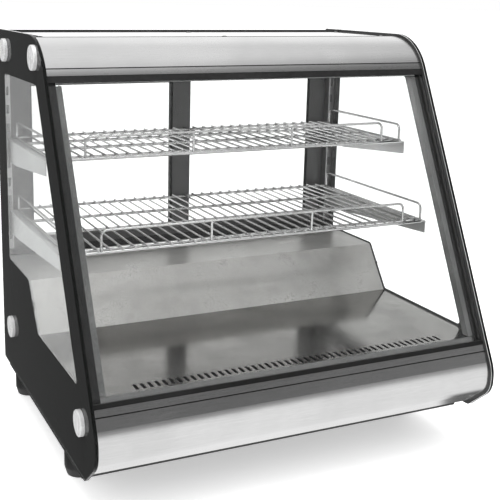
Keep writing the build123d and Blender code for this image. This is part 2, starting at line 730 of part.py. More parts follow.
# ---- cold side: evaporator and its fans ---------------------------------------------------
def finned_coil(low, high, pitch, rows):
    """Fins across X carried by straight tubes that run on into the end plates."""
    pieces = []
    count = int((high[0] - low[0]) / pitch) + 1
    for i in range(count):
        x = low[0] + i * pitch
        pieces.append(block((x - fin_wall / 2, low[1], low[2]), (x + fin_wall / 2, high[1], high[2])))
    for y_share, z_share in rows:
        y = low[1] + y_share * (high[1] - low[1])
        z = low[2] + z_share * (high[2] - low[2])
        pieces.append(rod_x(low[0] - 9, high[0] + 9, (y, z), fin_tube))
    return pieces[0].fuse(*pieces[1:])


def fan_rotor(radius, hub, depth, blades, pitch):
    """Hub with pitched blades, spinning about Y, centred on its own middle."""
    blade_root = hub - 2.0
    rotor = rod((0, -depth / 2, 0), (0, depth / 2, 0), hub)
    blade = Pos((blade_root + radius - 1) / 2, 0, 0) * Box(radius - 1 - blade_root, 1.6, radius * 0.85)
    blade = Rot(pitch, 0, 0) * blade
    blade &= rod((0, -depth / 2, 0), (0, depth / 2, 0), radius)
    for i in range(blades):
        rotor += Rot(0, i * 360 / blades, 0) * blade
    return rotor - rod((0, -depth, 0), (0, depth / 2 - 4, 0), shaft_radius + shaft_running)


def cold_parts():
    fin_span = coil_end_x - coil_end
    coil = finned_coil((-fin_span, coil_front, coil_low), (fin_span, coil_back, coil_high), fin_pitch,
                       [(y, z) for y in (0.25, 0.75) for z in (0.2, 0.5, 0.8)])
    for s in (-1, 1):
        coil = coil.fuse(block((s * coil_end_x - coil_end / 2, coil_front, well_floor),
                               (s * coil_end_x + coil_end / 2, coil_back, coil_high)))
    save("evaporator_coil", coil)

    plate = block((-well_half + 1, fan_plate_y, well_floor),
                  (well_half - 1, fan_plate_y + sheet, deck_level - fan_plate_drop))
    strut_back, strut_front = fan_plate_y - 2, fan_plate_y - 5
    reach = fan_radius + fan_shroud - 1
    hood_front = fan_y - fan_depth / 2 - 5
    for x in (-fan_x, fan_x):
        plate += rod_y(x, hood_front, fan_plate_y, fan_z, fan_radius + fan_shroud)
        plate -= rod_y(x, hood_front - 1, fan_plate_y + 4, fan_z, fan_radius + fan_running)
        plate += rod_y(x, fan_plate_y - 6, fan_plate_y + 12, fan_z, motor_radius)
        plate += rod_y(x, fan_y - 4, strut_front, fan_z, shaft_radius)
        plate += block((x - reach, strut_front, fan_z - 2), (x + reach, strut_back, fan_z + 2))
        plate += block((x - 2, strut_front, fan_z - reach), (x + 2, strut_back, fan_z + reach))
    for x, z in (left_pipe, right_pipe):
        plate -= rod_y(x, fan_plate_y - 1, fan_plate_y + 3, z, pipe_bore)
    save("evaporator_fan_plate", plate)
    rotor = fan_rotor(fan_radius, fan_hub, fan_depth, 5, 32)
    for side, x in (("left", -fan_x), ("right", fan_x)):
        save(f"evaporator_fan_{side}", Pos(x, fan_y, fan_z) * Rot(0, 0, 180) * rotor)


# ---- machine bay --------------------------------------------------------------------------
def compressor_parts():
    plate_z = pan_top + mount_height
    body_low = plate_z + base_plate - 0.4
    body_high = body_low + compressor_height
    r = compressor_radius
    profile = make_face(FilletPolyline(
        (0, body_low), (r * 0.8, body_low), (r, body_low + 22), (r, body_high - 40),
        (r * 0.75, body_high - 8), (0, body_high), radius=[0, 12, 18, 24, 14, 0], close=True))
    shell = revolve(Plane.XZ * profile, axis=Axis.Z)
    shell += rod((0, 0, body_low + 60), (0, 0, body_low + 68), r + 3)
    base = block((-base_half_x, -base_half_y, plate_z), (base_half_x, base_half_y, plate_z + base_plate))
    grommets = []
    for spot in [(x, y) for x in (-mount_x, mount_x) for y in (-mount_y, mount_y)]:
        base -= rod((*spot, plate_z - 1), (*spot, plate_z + 5), mount_bore)
        cushion = rod((*spot, pan_top), (*spot, plate_z), mount_radius)
        grommets.append(cushion + rod((*spot, plate_z - 0.1), (*spot, plate_z + 8), mount_stem))
    shell += base
    relay_low = body_low + 16
    shell += block((r - 6, -relay_half, relay_low), (r + relay_reach, relay_half, relay_low + relay_height))
    shell += rod_y(0, -r - port_reach, -r + 6, body_low + 40, port_radius)
    shell += rod_x(-r - port_reach, -r + 6, (0, body_low + 90), port_radius)
    place = Pos(compressor_x, compressor_y, 0)
    save("compressor", place * shell)
    save("compressor_mounts", Compound(children=[place * g for g in grommets]))


def condenser_parts():
    x, z = condenser_fan_x, condenser_fan_z
    low = (x - condenser_half, condenser_front, pan_top + condenser_foot)
    high = (x + condenser_half, condenser_back, condenser_high)
    coil = finned_coil(low, high, condenser_pitch,
                       [(y, z_share) for y in condenser_columns for z_share in condenser_rows])
    for start in (low[0] - condenser_end, high[0]):
        coil = coil.fuse(block((start, low[1], pan_top), (start + condenser_end, high[1], high[2])))
    save("condenser_coil", coil)

    wall_back = condenser_front - shroud_gap + shroud_wall
    shroud = block((low[0] - condenser_end, wall_back - shroud_wall, pan_top),
                   (high[0] + condenser_end, wall_back, high[2]))
    ring_front = condenser_fan_y - condenser_fan_depth / 2 - 3
    shroud += rod_y(x, ring_front, wall_back - 1, z, condenser_fan_radius + shroud_ring)
    shroud -= rod_y(x, ring_front - 6, wall_back + 12, z, condenser_fan_radius + shroud_running)
    save("condenser_shroud", shroud)

    motor_front = condenser_fan_y - 56
    post_y = motor_front + 22
    motor = rod_y(x, motor_front, motor_front + condenser_motor_length, z, condenser_motor_radius)
    motor += rod_y(x, motor_front + condenser_motor_length - 1, condenser_fan_y + 3, z, shaft_radius)
    motor += block((x - 14, post_y - 6, pan_top), (x + 14, post_y + 2, z))
    motor += block((x - 22, post_y - 24, pan_top), (x + 22, post_y + 12, pan_top + 3))
    save("condenser_fan_motor", motor)
    rotor = fan_rotor(condenser_fan_radius, condenser_hub, condenser_fan_depth, 6, 28)
    save("condenser_fan_rotor", Pos(x, condenser_fan_y, z) * rotor)


def refrigerant_lines():
    body_low = pan_top + mount_height + base_plate - 0.4
    reach = compressor_radius + port_reach
    clear_y = well_back + foam + 40
    left_x, left_z = left_pipe
    right_x, right_z = right_pipe
    suction_z = body_low + 90
    out_x = compressor_x - reach - 20
    suction = tube_run([
        (compressor_x - reach, compressor_y, suction_z), (out_x, compressor_y, suction_z),
        (out_x, compressor_y, left_z + 30), (out_x, clear_y, left_z + 30),
        (left_x, clear_y, left_z), (left_x, coil_back, left_z)], line_bend, suction_radius)
    discharge_z = body_low + 40
    out_y = compressor_y - reach - 10
    tube_y = condenser_front + condenser_columns[0] * condenser_depth
    tube_z = pan_top + condenser_foot + condenser_rows[0] * condenser_height
    inlet_x = condenser_fan_x - condenser_half - condenser_end
    discharge = tube_run([
        (compressor_x, out_y + 10, discharge_z), (compressor_x, out_y, discharge_z),
        (compressor_x + 80, out_y, discharge_z), (inlet_x - 115, out_y + 4, tube_z + 40),
        (inlet_x - 35, compressor_y, tube_z + 30), (inlet_x - 35, tube_y, tube_z),
        (inlet_x, tube_y, tube_z)], line_bend, line_radius)
    return_x = condenser_fan_x + condenser_half + condenser_end
    liquid = tube_run([
        (return_x, tube_y, tube_z), (return_x + 18, tube_y, tube_z),
        (return_x + 18, compressor_y, tube_z + 10), (right_x, clear_y, right_z),
        (right_x, coil_back, right_z)], line_bend, line_radius)
    save("refrigerant_lines", Compound(children=[suction, discharge, liquid]))


def condensate_parts():
    low_x, high_x = drain_x - drip_width + 40, drain_x + 40
    back = drip_front + drip_depth
    tray = block((low_x, drip_front, pan_top), (high_x, back, pan_top + drip_height))
    tray -= block((low_x + drip_wall, drip_front + drip_wall, pan_top + drip_wall),
                  (high_x - drip_wall, back - drip_wall, pan_top + drip_height + 1))
    pipe = tube_run([(drain_x, well_back + 0.5, drain_z), (drain_x, drip_front + 25, drain_z),
                     (drain_x, drip_front + 25, pan_top + 16)], drain_bend, drain_radius)
    save("condensate_drain", Compound(children=[tray, pipe]))


# ---- rear panel and controls --------------------------------------------------------------
def rear_parts():
    back, front = panel_back, panel_front
    half = tub_half - 0.5
    cut_front, cut_back = front - 1, back + 1
    panel = block((-half, front, pan_top), (half, back, step_level))
    panel += block((-half, tray_back + 4.2, step_level - sheet), (half, back, step_level))
    for count, low_x, high_x in (
        (condenser_vents, condenser_fan_x - condenser_half + 10, condenser_fan_x + condenser_half - 10),
        (compressor_vents, compressor_x - 75, compressor_x + 55),
    ):
        for row in range(count):
            z = pan_bottom + vent_low + row * vent_pitch
            panel -= block((low_x, cut_front, z), (high_x, cut_back, z + vent_height))
    cw, ch = controls_width / 2, controls_height / 2
    panel -= block((controls_x - cw + bezel_rim, cut_front, controls_z - ch + bezel_rim),
                   (controls_x + cw - bezel_rim, cut_back, controls_z + ch - bezel_rim))
    panel -= rod_y(gland_x, cut_front, cut_back, gland_z, gland_body + 0.2)
    save("rear_panel", panel)

    bezel = block((controls_x - cw, back, controls_z - ch), (controls_x + cw, bezel_face, controls_z + ch))
    bezel = fillet(bezel.edges().filter_by(Axis.Y), bezel_round)
    rim = bezel_rim + running
    bezel += block((controls_x - cw + rim, back - box_depth, controls_z - ch + rim),
                   (controls_x + cw - rim, cut_back, controls_z + ch - rim))
    dw, dh = display_width / 2, display_height / 2
    bezel -= block((display_x - dw, bezel_face - display_sink, controls_z - dh),
                   (display_x + dw, bezel_face + 1, controls_z + dh))
    bore_root = bezel_face - button_root - button_travel - 0.5
    for x in button_x:
        bezel -= rod_y(x, bore_root, bezel_face + 1, controls_z, button_radius + button_gap)
    socket_x, socket_z = rocker_width / 2 + rocker_gap, rocker_height / 2 + rocker_gap
    for x in rocker_x:
        bezel -= block((x - socket_x, bezel_face - rocker_depth - 4, controls_z - socket_z),
                       (x + socket_x, bezel_face + 1, controls_z + socket_z))
    save("control_panel", bezel)

    for name, x in zip(("set", "up", "down"), button_x):
        cap = rod_y(x, bezel_face - button_root, bezel_face + button_stand, controls_z, button_radius)
        save(f"button_{name}", fillet(cap.faces().sort_by(Axis.Y)[-1].edges(), 0.8))
    for name, x in zip(("power", "light"), rocker_x):
        save(f"rocker_{name}", rocker(x))

    head = rod_y(gland_x, back, back + gland_height, gland_z, gland_head)
    gland = chamfer(head.faces().sort_by(Axis.Y)[-1].edges(), 1.5)
    root = front - gland_root
    gland += rod_y(gland_x, root, cut_back, gland_z, gland_body)
    gland += rod_y(gland_x, root, front - 0.2, gland_z, gland_nut)
    save("cord_gland", gland - rod_y(gland_x, root - 1, back + gland_height + 1, gland_z, gland_bore))


def rocker(x):
    """Rocker with two slanted halves meeting in a shallow valley, pivoting just behind its face."""
    h = rocker_height / 2 - 1.2
    crest = bezel_face + 1.0 + h * tan(radians(rocker_swing / 2))
    root, shoulder = bezel_face - rocker_depth + 3, bezel_face - 3
    shape = area([(root, -6), (root, 6), (shoulder, h), (crest, h), (bezel_face + 1.0, 0), (crest, -h),
                  (shoulder, -h)])
    body = prism(shape, x - rocker_width / 2, x + rocker_width / 2)
    pivot = bezel_face - rocker_pivot_depth
    return Pos(0, pivot, controls_z) * Rot(-rocker_swing / 2, 0, 0) * Pos(0, -pivot, 0) * body


side_parts()
base_pan()
feet()
insulated_tub()
deck_parts()
front_parts()
top_parts()
track_parts()
door_parts()
for shelf_name, shelf_front, shelf_level in (
    ("upper", upper_shelf_front, upper_shelf_level),
    ("lower", lower_shelf_front, lower_shelf_level),
):
    shelf(shelf_name, shelf_front, shelf_level)
    brackets(shelf_name, shelf_front, shelf_level)
cold_parts()
compressor_parts()
condenser_parts()
refrigerant_lines()
condensate_parts()
rear_parts()
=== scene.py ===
import math

import bpy
import numpy as np
from mathutils import Matrix, Vector


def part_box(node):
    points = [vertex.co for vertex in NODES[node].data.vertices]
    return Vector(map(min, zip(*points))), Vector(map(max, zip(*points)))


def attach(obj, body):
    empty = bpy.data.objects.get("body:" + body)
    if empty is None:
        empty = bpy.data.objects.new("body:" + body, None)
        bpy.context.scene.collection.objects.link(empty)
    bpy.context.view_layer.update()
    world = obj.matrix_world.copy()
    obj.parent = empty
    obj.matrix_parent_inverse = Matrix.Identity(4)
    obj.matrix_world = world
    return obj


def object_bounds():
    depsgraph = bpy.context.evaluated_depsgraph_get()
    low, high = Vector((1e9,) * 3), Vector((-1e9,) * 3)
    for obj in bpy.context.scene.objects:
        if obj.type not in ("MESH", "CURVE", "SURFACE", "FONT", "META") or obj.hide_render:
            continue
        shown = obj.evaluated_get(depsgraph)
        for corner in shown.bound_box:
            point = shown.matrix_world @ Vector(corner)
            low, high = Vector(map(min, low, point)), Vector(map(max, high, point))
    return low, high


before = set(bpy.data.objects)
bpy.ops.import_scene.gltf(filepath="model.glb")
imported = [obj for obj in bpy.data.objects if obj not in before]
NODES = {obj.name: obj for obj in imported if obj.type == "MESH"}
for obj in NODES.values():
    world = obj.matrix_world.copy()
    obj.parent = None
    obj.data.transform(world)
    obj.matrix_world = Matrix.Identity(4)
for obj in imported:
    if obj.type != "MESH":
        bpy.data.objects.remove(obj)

CAD_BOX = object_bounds()
GLASS_LEAN = math.radians(26.2)     # front glass from the vertical
GLASS_THICK = 0.005
WHITE = (1.0, 1.0, 1.0, 1.0)
TIP = 0.02                          # share of its size to which a closed end is drawn together
Z_AXIS = np.array([0.0, 0.0, 1.0])


# ---- shader node helpers ------------------------------------------------------------------
def add(tree, kind, **settings):
    """New shader node of a kind, with its settings."""
    node = tree.nodes.new(kind)
    for key, value in settings.items():
        setattr(node, key, value)
    return node


def feed(tree, socket, value):
    """Links an output socket, or sets a plain value."""
    if isinstance(value, bpy.types.NodeSocket):
        tree.links.new(value, socket)
    else:
        socket.default_value = value


def math_node(tree, operation, a, b=0.0, clamp=False):
    """Result of one operation on two sockets or numbers."""
    node = add(tree, "ShaderNodeMath", operation=operation, use_clamp=clamp)
    feed(tree, node.inputs[0], a)
    feed(tree, node.inputs[1], b)
    return node.outputs[0]


def ramp_node(tree, value, low, high, out_low=0.0, out_high=1.0):
    """Straight ramp from out_low at low to out_high at high, level beyond both."""
    node = add(tree, "ShaderNodeMapRange", clamp=True)
    for index, item in enumerate((value, low, high, out_low, out_high)):
        feed(tree, node.inputs[index], item)
    return node.outputs[0]


def mix_colour(tree, factor, a, b, blend="MIX"):
    """Colour a at factor 0 and b at factor 1, or their product with blend MULTIPLY."""
    node = add(tree, "ShaderNodeMix", data_type="RGBA", blend_type=blend)
    feed(tree, node.inputs[0], factor)
    feed(tree, node.inputs[6], a)
    feed(tree, node.inputs[7], b)
    return node.outputs[2]


def noise_node(tree, vector, scale, detail=3.0, rough=0.55, distortion=0.0):
    """Noise between 0 and 1 over a vector."""
    node = add(tree, "ShaderNodeTexNoise")
    feed(tree, node.inputs["Vector"], vector)
    feed(tree, node.inputs["Scale"], scale)
    node.inputs["Detail"].default_value = detail
    node.inputs["Roughness"].default_value = rough
    node.inputs["Distortion"].default_value = distortion
    return node.outputs[0]


def new_group(name, inputs, outputs):
    """Empty shader group with named sockets; inputs give (name, type, default)."""
    tree = bpy.data.node_groups.new(name, "ShaderNodeTree")
    for label, kind, default in inputs:
        socket = tree.interface.new_socket(name=label, in_out="INPUT", socket_type="NodeSocket" + kind)
        if default is not None:
            socket.default_value = default
    for label in outputs:
        tree.interface.new_socket(name=label, in_out="OUTPUT", socket_type="NodeSocketFloat")
    return tree, tree.nodes.new("NodeGroupInput"), tree.nodes.new("NodeGroupOutput")


def mix_shaders(tree, factor, first, second):
    """Output of a mix: first at factor 0, second at factor 1."""
    mix = add(tree, "ShaderNodeMixShader")
    for socket, value in zip(mix.inputs, (factor, first, second)):
        feed(tree, socket, value)
    return mix.outputs[0]


def use_group(tree, group, **values):
    """Places a shared group in a material, with this material's own values."""
    node = add(tree, "ShaderNodeGroup", node_tree=group)
    for label, value in values.items():
        feed(tree, node.inputs[label], value)
    return node


# ---- shared effects -----------------------------------------------------------------------
def brushed_lines_group():
    """Long thin scratches: noise stretched hard along one axis, plus a finer set of the same."""
    tree, source, sink = new_group("brushed_lines", [
        ("Vector", "Vector", None), ("Stretch", "Vector", (1, 1, 1)), ("Fineness", "Float", 900.0),
    ], ["Lines", "Height"])
    scaled = add(tree, "ShaderNodeVectorMath", operation="MULTIPLY")
    feed(tree, scaled.inputs[0], source.outputs["Vector"])
    feed(tree, scaled.inputs[1], source.outputs["Stretch"])
    coarse = noise_node(tree, scaled.outputs[0], source.outputs["Fineness"], 4.0, 0.7)
    finer = math_node(tree, "MULTIPLY", source.outputs["Fineness"], 3.3)
    fine = noise_node(tree, scaled.outputs[0], finer, 2.0, 0.6)
    mean = math_node(tree, "MULTIPLY", math_node(tree, "ADD", coarse, fine), 0.5)
    feed(tree, sink.inputs["Lines"], ramp_node(tree, mean, 0.36, 0.64))
    feed(tree, sink.inputs["Height"], mean)
    return tree


def cloudy_group():
    """Slow changes over a surface: two sizes of soft noise, the larger one stronger."""
    tree, source, sink = new_group("cloudy_patches", [
        ("Vector", "Vector", None), ("Size", "Float", 6.0),
    ], ["Patches"])
    large = noise_node(tree, source.outputs["Vector"], source.outputs["Size"], 2.0, 0.5, 0.6)
    small = noise_node(tree, source.outputs["Vector"],
                       math_node(tree, "MULTIPLY", source.outputs["Size"], 4.7), 3.0, 0.6)
    mostly_large = math_node(tree, "MULTIPLY", large, 0.7)
    both = math_node(tree, "ADD", mostly_large, math_node(tree, "MULTIPLY", small, 0.3))
    feed(tree, sink.inputs["Patches"], ramp_node(tree, both, 0.34, 0.66))
    return tree


def fine_grain_group():
    """Orange-peel or moulded grain: rounded cells over fine noise."""
    tree, source, sink = new_group("fine_grain", [
        ("Vector", "Vector", None), ("Size", "Float", 700.0),
    ], ["Grain"])
    cells = add(tree, "ShaderNodeTexVoronoi", feature="SMOOTH_F1")
    feed(tree, cells.inputs["Vector"], source.outputs["Vector"])
    feed(tree, cells.inputs["Scale"], source.outputs["Size"])
    finer = math_node(tree, "MULTIPLY", source.outputs["Size"], 1.9)
    soft = noise_node(tree, source.outputs["Vector"], finer)
    feed(tree, sink.inputs["Grain"], math_node(tree, "ADD", cells.outputs["Distance"],
                                               math_node(tree, "MULTIPLY", soft, 0.5)))
    return tree


def edge_wear_and_highlight_group():
    """Mask of convex edges, broken up by noise; where it lies, a finish puts a lighter colour, partly worn
    edges and partly a painted highlight.
    """
    tree, source, sink = new_group("worn_and_highlit_edges", [
        ("Vector", "Vector", None), ("Amount", "Float", 0.3),
    ], ["Mask"])
    shape = add(tree, "ShaderNodeNewGeometry")
    edge = ramp_node(tree, shape.outputs["Pointiness"], 0.51, 0.62)
    broken = ramp_node(tree, noise_node(tree, source.outputs["Vector"], 160.0, 4.0), 0.4, 0.6)
    mask = math_node(tree, "MULTIPLY", edge, broken)
    feed(tree, sink.inputs["Mask"], math_node(tree, "MULTIPLY", mask, source.outputs["Amount"], True))
    return tree


def settled_dust_group():
    """Thin dust on surfaces that face up, thicker in slow patches."""
    tree, source, sink = new_group("settled_dust", [
        ("Vector", "Vector", None), ("Amount", "Float", 0.1),
    ], ["Mask"])
    shape = add(tree, "ShaderNodeNewGeometry")
    split = add(tree, "ShaderNodeSeparateXYZ")
    feed(tree, split.inputs[0], shape.outputs["Normal"])
    upward = ramp_node(tree, split.outputs["Z"], 0.5, 0.95)
    patches = noise_node(tree, source.outputs["Vector"], 22.0, 4.0, 0.6)
    mask = math_node(tree, "MULTIPLY", upward, patches)
    feed(tree, sink.inputs["Mask"], math_node(tree, "MULTIPLY", mask, source.outputs["Amount"], True))
    return tree


BRUSHED = brushed_lines_group()
CLOUDY = cloudy_group()
GRAIN = fine_grain_group()
EDGE_WEAR_AND_HIGHLIGHT = edge_wear_and_highlight_group()
DUST = settled_dust_group()


# ---- finishes -----------------------------------------------------------------------------
BUMP_STRENGTH = 0.6
DUST_COLOUR = (0.62, 0.60, 0.57)
LAMP_TINT = (0.93, 0.95, 0.94, 1.0)         # what glass does to lamp light that crosses it


def shade(colour):
    """RGBA of a colour, or of one number for grey."""
    return (*colour, 1.0) if isinstance(colour, tuple) else (colour, colour, colour, 1.0)


def finish(name, base, second, rough, metallic=0.0, lines=None, grain=None, patch_size=6.0,
           wear_and_highlight=None, dust=0.0, constants=None):
    """Opaque finish. base and second blend over slow patches; lines is (stretch, fineness, contrast,
    depth), grain is (size, depth), wear is (colour, amount) of lighter convex edges, partly worn and partly a
    painted highlight, and rough is a low and a high value."""
    material = bpy.data.materials.new(name)
    material.use_nodes = True
    tree = material.node_tree
    tree.nodes.clear()
    sink = add(tree, "ShaderNodeOutputMaterial")
    body = add(tree, "ShaderNodeBsdfPrincipled")
    feed(tree, sink.inputs["Surface"], body.outputs[0])
    place = add(tree, "ShaderNodeTexCoord").outputs["Object"]
    patches = use_group(tree, CLOUDY, Vector=place, Size=patch_size).outputs["Patches"]
    colour = mix_colour(tree, patches, shade(base), shade(second))
    roughness, height, depth = patches, None, 0.0
    if lines:
        stretch, fineness, contrast, depth = lines
        strokes = use_group(tree, BRUSHED, Vector=place, Stretch=stretch, Fineness=fineness)
        streak = ramp_node(tree, strokes.outputs["Lines"], 0.0, 1.0, 1.0 - contrast, 1.0 + contrast)
        tone = add(tree, "ShaderNodeCombineColor")
        for socket in tone.inputs[:3]:
            feed(tree, socket, streak)
        colour = mix_colour(tree, 1.0, colour, tone.outputs[0], "MULTIPLY")
        both = math_node(tree, "ADD", patches, strokes.outputs["Lines"])
        roughness = math_node(tree, "MULTIPLY", both, 0.5)
        height = strokes.outputs["Height"]
    if grain:
        size, depth = grain
        height = use_group(tree, GRAIN, Vector=place, Size=size).outputs["Grain"]
    # lighter convex edges: partly worn, partly a painted highlight
    if wear_and_highlight:
        mask = use_group(tree, EDGE_WEAR_AND_HIGHLIGHT, Vector=place, Amount=wear_and_highlight[1]).outputs["Mask"]
        colour = mix_colour(tree, mask, colour, shade(wear_and_highlight[0]))
    if dust:
        mask = use_group(tree, DUST, Vector=place, Amount=dust).outputs["Mask"]
        colour = mix_colour(tree, mask, colour, shade(DUST_COLOUR))
        roughness = math_node(tree, "ADD", roughness, mask, True)
    feed(tree, body.inputs["Base Color"], colour)
    feed(tree, body.inputs["Roughness"], ramp_node(tree, roughness, 0.0, 1.0, rough[0], rough[1]))
    body.inputs["Metallic"].default_value = metallic
    for label, value in (constants or {}).items():
        body.inputs[label].default_value = value
    if height is not None:
        bump = add(tree, "ShaderNodeBump")
        bump.inputs["Strength"].default_value = BUMP_STRENGTH
        bump.inputs["Distance"].default_value = depth
        feed(tree, bump.inputs["Height"], height)
        feed(tree, body.inputs["Normal"], bump.outputs[0])
    return material


def clear_glass(name, tint, edge_tint, smear, index):
    """Glass that lets lamp light through. Its faint smears change the roughness and the tint, and index is
    its index of refraction."""
    material = bpy.data.materials.new(name)
    material.use_nodes = True
    tree = material.node_tree
    tree.nodes.clear()
    sink = add(tree, "ShaderNodeOutputMaterial")
    body = add(tree, "ShaderNodeBsdfPrincipled")
    place = add(tree, "ShaderNodeTexCoord").outputs["Object"]
    patches = use_group(tree, CLOUDY, Vector=place, Size=9.0).outputs["Patches"]
    feed(tree, body.inputs["Base Color"], mix_colour(tree, patches, shade(tint), shade(edge_tint)))
    feed(tree, body.inputs["Roughness"], ramp_node(tree, patches, 0.55, 1.0, 0.0, smear))
    body.inputs["Transmission Weight"].default_value = 1.0
    body.inputs["IOR"].default_value = index
    to_lamp = add(tree, "ShaderNodeLightPath").outputs["Is Shadow Ray"]
    through = add(tree, "ShaderNodeBsdfTransparent")
    through.inputs[0].default_value = LAMP_TINT
    feed(tree, sink.inputs["Surface"], mix_shaders(tree, to_lamp, body.outputs[0], through.outputs[0]))
    return material


# scale of the brushed lines' coordinates by axis: the small one draws them out along that axis
ALONG_X = (0.012, 1.0, 1.0)
ALONG_Y = (1.0, 0.012, 1.0)
ALONG_Z = (1.0, 1.0, 0.012)
GLOSS = {"Coat Weight": 0.6, "Coat Roughness": 0.06}
MATT = {"Specular IOR Level": 0.15}

FINISHES = {
    "side_glass": clear_glass("side_glass", (0.93, 0.94, 0.936), (0.905, 0.915, 0.91), 0.02, 1.22),
    "pane_glass": clear_glass("pane_glass", (0.965, 0.97, 0.967), (0.94, 0.946, 0.943), 0.015, 1.3),
    "dark_print": finish("dark_print", 0.030, 0.038, (0.16, 0.24), patch_size=4.0, grain=(900.0, 0.00002)),
    "bolt_steel": finish("bolt_steel", 0.82, 0.74, (0.2, 0.34), 0.4, (ALONG_Z, 1400.0, 0.10, 0.00003)),
    "canopy_metal": finish("canopy_metal", 0.72, 0.66, (0.24, 0.34), 1.0, (ALONG_X, 1300.0, 0.05, 0.00003),
                           dust=0.04),
    "fascia_metal": finish("fascia_metal", 0.74, 0.67, (0.17, 0.27), 1.0, (ALONG_X, 1500.0, 0.07, 0.00004)),
    "top_metal": finish("top_metal", 0.62, 0.57, (0.34, 0.44), 0.2, grain=(600.0, 0.00004), dust=0.08),
    "black_trim": finish("black_trim", 0.011, 0.016, (0.34, 0.46), grain=(1600.0, 0.000008),
                         wear_and_highlight=((0.09, 0.09, 0.09), 0.06), dust=0.02, constants=MATT),
    "black_rubber": finish("black_rubber", 0.007, 0.012, (0.48, 0.62), grain=(1400.0, 0.00001), dust=0.02,
                           constants=MATT),
    "corner_metal": finish("corner_metal", 0.15, 0.07, (0.36, 0.52), 0.45, (ALONG_Z, 420.0, 0.35, 0.0002)),
    "liner_steel": finish("liner_steel", (0.34, 0.332, 0.322), (0.23, 0.224, 0.216), (0.08, 0.2), 1.0,
                          (ALONG_Y, 900.0, 0.07, 0.00001), patch_size=7.0, dust=0.03),
    "trim_grey": finish("trim_grey", 0.20, 0.16, (0.32, 0.44), 0.9, (ALONG_X, 900.0, 0.08, 0.00003)),
    "foam_body": finish("foam_body", 0.50, 0.44, (0.42, 0.56), grain=(260.0, 0.00012), dust=0.15),
    "pan_paint": finish("pan_paint", 0.010, 0.015, (0.36, 0.5), grain=(1500.0, 0.00001),
                        wear_and_highlight=((0.16, 0.16, 0.16), 0.06), dust=0.04),
    "rear_paint": finish("rear_paint", 0.36, 0.31, (0.30, 0.42), 0.6, grain=(650.0, 0.00005),
                         wear_and_highlight=((0.6, 0.6, 0.6), 0.08), dust=0.06),
    "frame_dark": finish("frame_dark", 0.026, 0.034, (0.28, 0.40), grain=(1600.0, 0.000008),
                         wear_and_highlight=((0.12, 0.12, 0.12), 0.06)),
    "jamb_metal": finish("jamb_metal", 0.46, 0.40, (0.26, 0.38), 1.0, (ALONG_Z, 1200.0, 0.06, 0.00003)),
    "wire_steel": finish("wire_steel", 0.50, 0.42, (0.14, 0.26), 1.0, (ALONG_Y, 700.0, 0.10, 0.00005)),
    "bracket_steel": finish("bracket_steel", 0.42, 0.36, (0.34, 0.48), 0.6,
                            (ALONG_Y, 1000.0, 0.08, 0.00004)),
    "foot_rubber": finish("foot_rubber", 0.010, 0.016, (0.46, 0.62), grain=(420.0, 0.0001),
                          wear_and_highlight=((0.14, 0.14, 0.14), 0.1), dust=0.12),
    "fin_metal": finish("fin_metal", 0.60, 0.48, (0.3, 0.46), 1.0, (ALONG_Z, 500.0, 0.12, 0.00005),
                        dust=0.2),
    "compressor_paint": finish("compressor_paint", 0.012, 0.02, (0.18, 0.32), grain=(300.0, 0.0001),
                               dust=0.15, constants=GLOSS),
    "copper_tube": finish("copper_tube", (0.62, 0.30, 0.17), (0.38, 0.17, 0.09), (0.24, 0.46), 1.0,
                          (ALONG_Y, 400.0, 0.12, 0.00004), patch_size=30.0),
    "fan_plastic": finish("fan_plastic", 0.02, 0.03, (0.36, 0.5), grain=(600.0, 0.00006), dust=0.2),
    "galvanised": finish("galvanised", 0.46, 0.34, (0.30, 0.5), 1.0, grain=(90.0, 0.00006), patch_size=40.0,
                         dust=0.1),
    "lamp_white": finish("lamp_white", 0.86, 0.82, (0.3, 0.4), grain=(300.0, 0.00005),
                         constants={"Emission Color": (1.0, 0.99, 0.97, 1.0), "Emission Strength": 1.4}),
    "control_black": finish("control_black", 0.014, 0.02, (0.14, 0.24), grain=(900.0, 0.00003),
                            constants=GLOSS),
    "button_grey": finish("button_grey", 0.24, 0.2, (0.34, 0.46), grain=(700.0, 0.00006),
                          wear_and_highlight=((0.4, 0.4, 0.4), 0.3)),
    "rocker_black": finish("rocker_black", 0.012, 0.018, (0.2, 0.3), grain=(700.0, 0.00005),
                           constants=GLOSS),
}
WHITE_PRINT = finish("white_print", 0.72, 0.62, (0.4, 0.5), grain=(1500.0, 0.00002))
BLACK_PRINT = finish("black_print", 0.006, 0.010, (0.3, 0.4), grain=(1500.0, 0.00002), constants=MATT)
DIGIT_GLOW = finish("digit_glow", (0.7, 0.05, 0.03), (0.6, 0.03, 0.02), (0.3, 0.4),
                    constants={"Emission Color": (1.0, 0.08, 0.04, 1.0), "Emission Strength": 2.2})
STEP_STEEL = finish("step_steel", (0.38, 0.374, 0.364), (0.28, 0.274, 0.266), (0.24, 0.38), 0.6,
                    (ALONG_Z, 700.0, 0.14, 0.00003), patch_size=9.0, dust=0.03)
SCREW_STEEL = finish("screw_steel", 0.5, 0.36, (0.24, 0.4), 1.0, grain=(1200.0, 0.00003))

for node in NODES.values():
    for material_slot in node.material_slots:
        material_slot.material = FINISHES[material_slot.material.name.split(".")[0]]
NODES["step_cover"].material_slots[0].material = STEP_STEEL


# ---- surfaces -----------------------------------------------------------------------------
def surface_object(name, parts, material, body, smooth=True):
    """One object from (points, faces) parts, each in metres; rides on a body and takes a slot."""
    counts = np.cumsum([0] + [len(points) for points, _ in parts])
    points = np.concatenate([points for points, _ in parts])
    faces = np.concatenate([part + base for base, (_, part) in zip(counts, parts)])
    mesh = bpy.data.meshes.new(name)
    mesh.from_pydata(points.tolist(), [], faces.tolist())
    mesh.polygons.foreach_set("use_smooth", np.full(len(faces), smooth))
    mesh.update()
    piece = bpy.data.objects.new(name, mesh)
    bpy.context.collection.objects.link(piece)
    mesh.materials.append(material)
    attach(piece, body)
    return piece


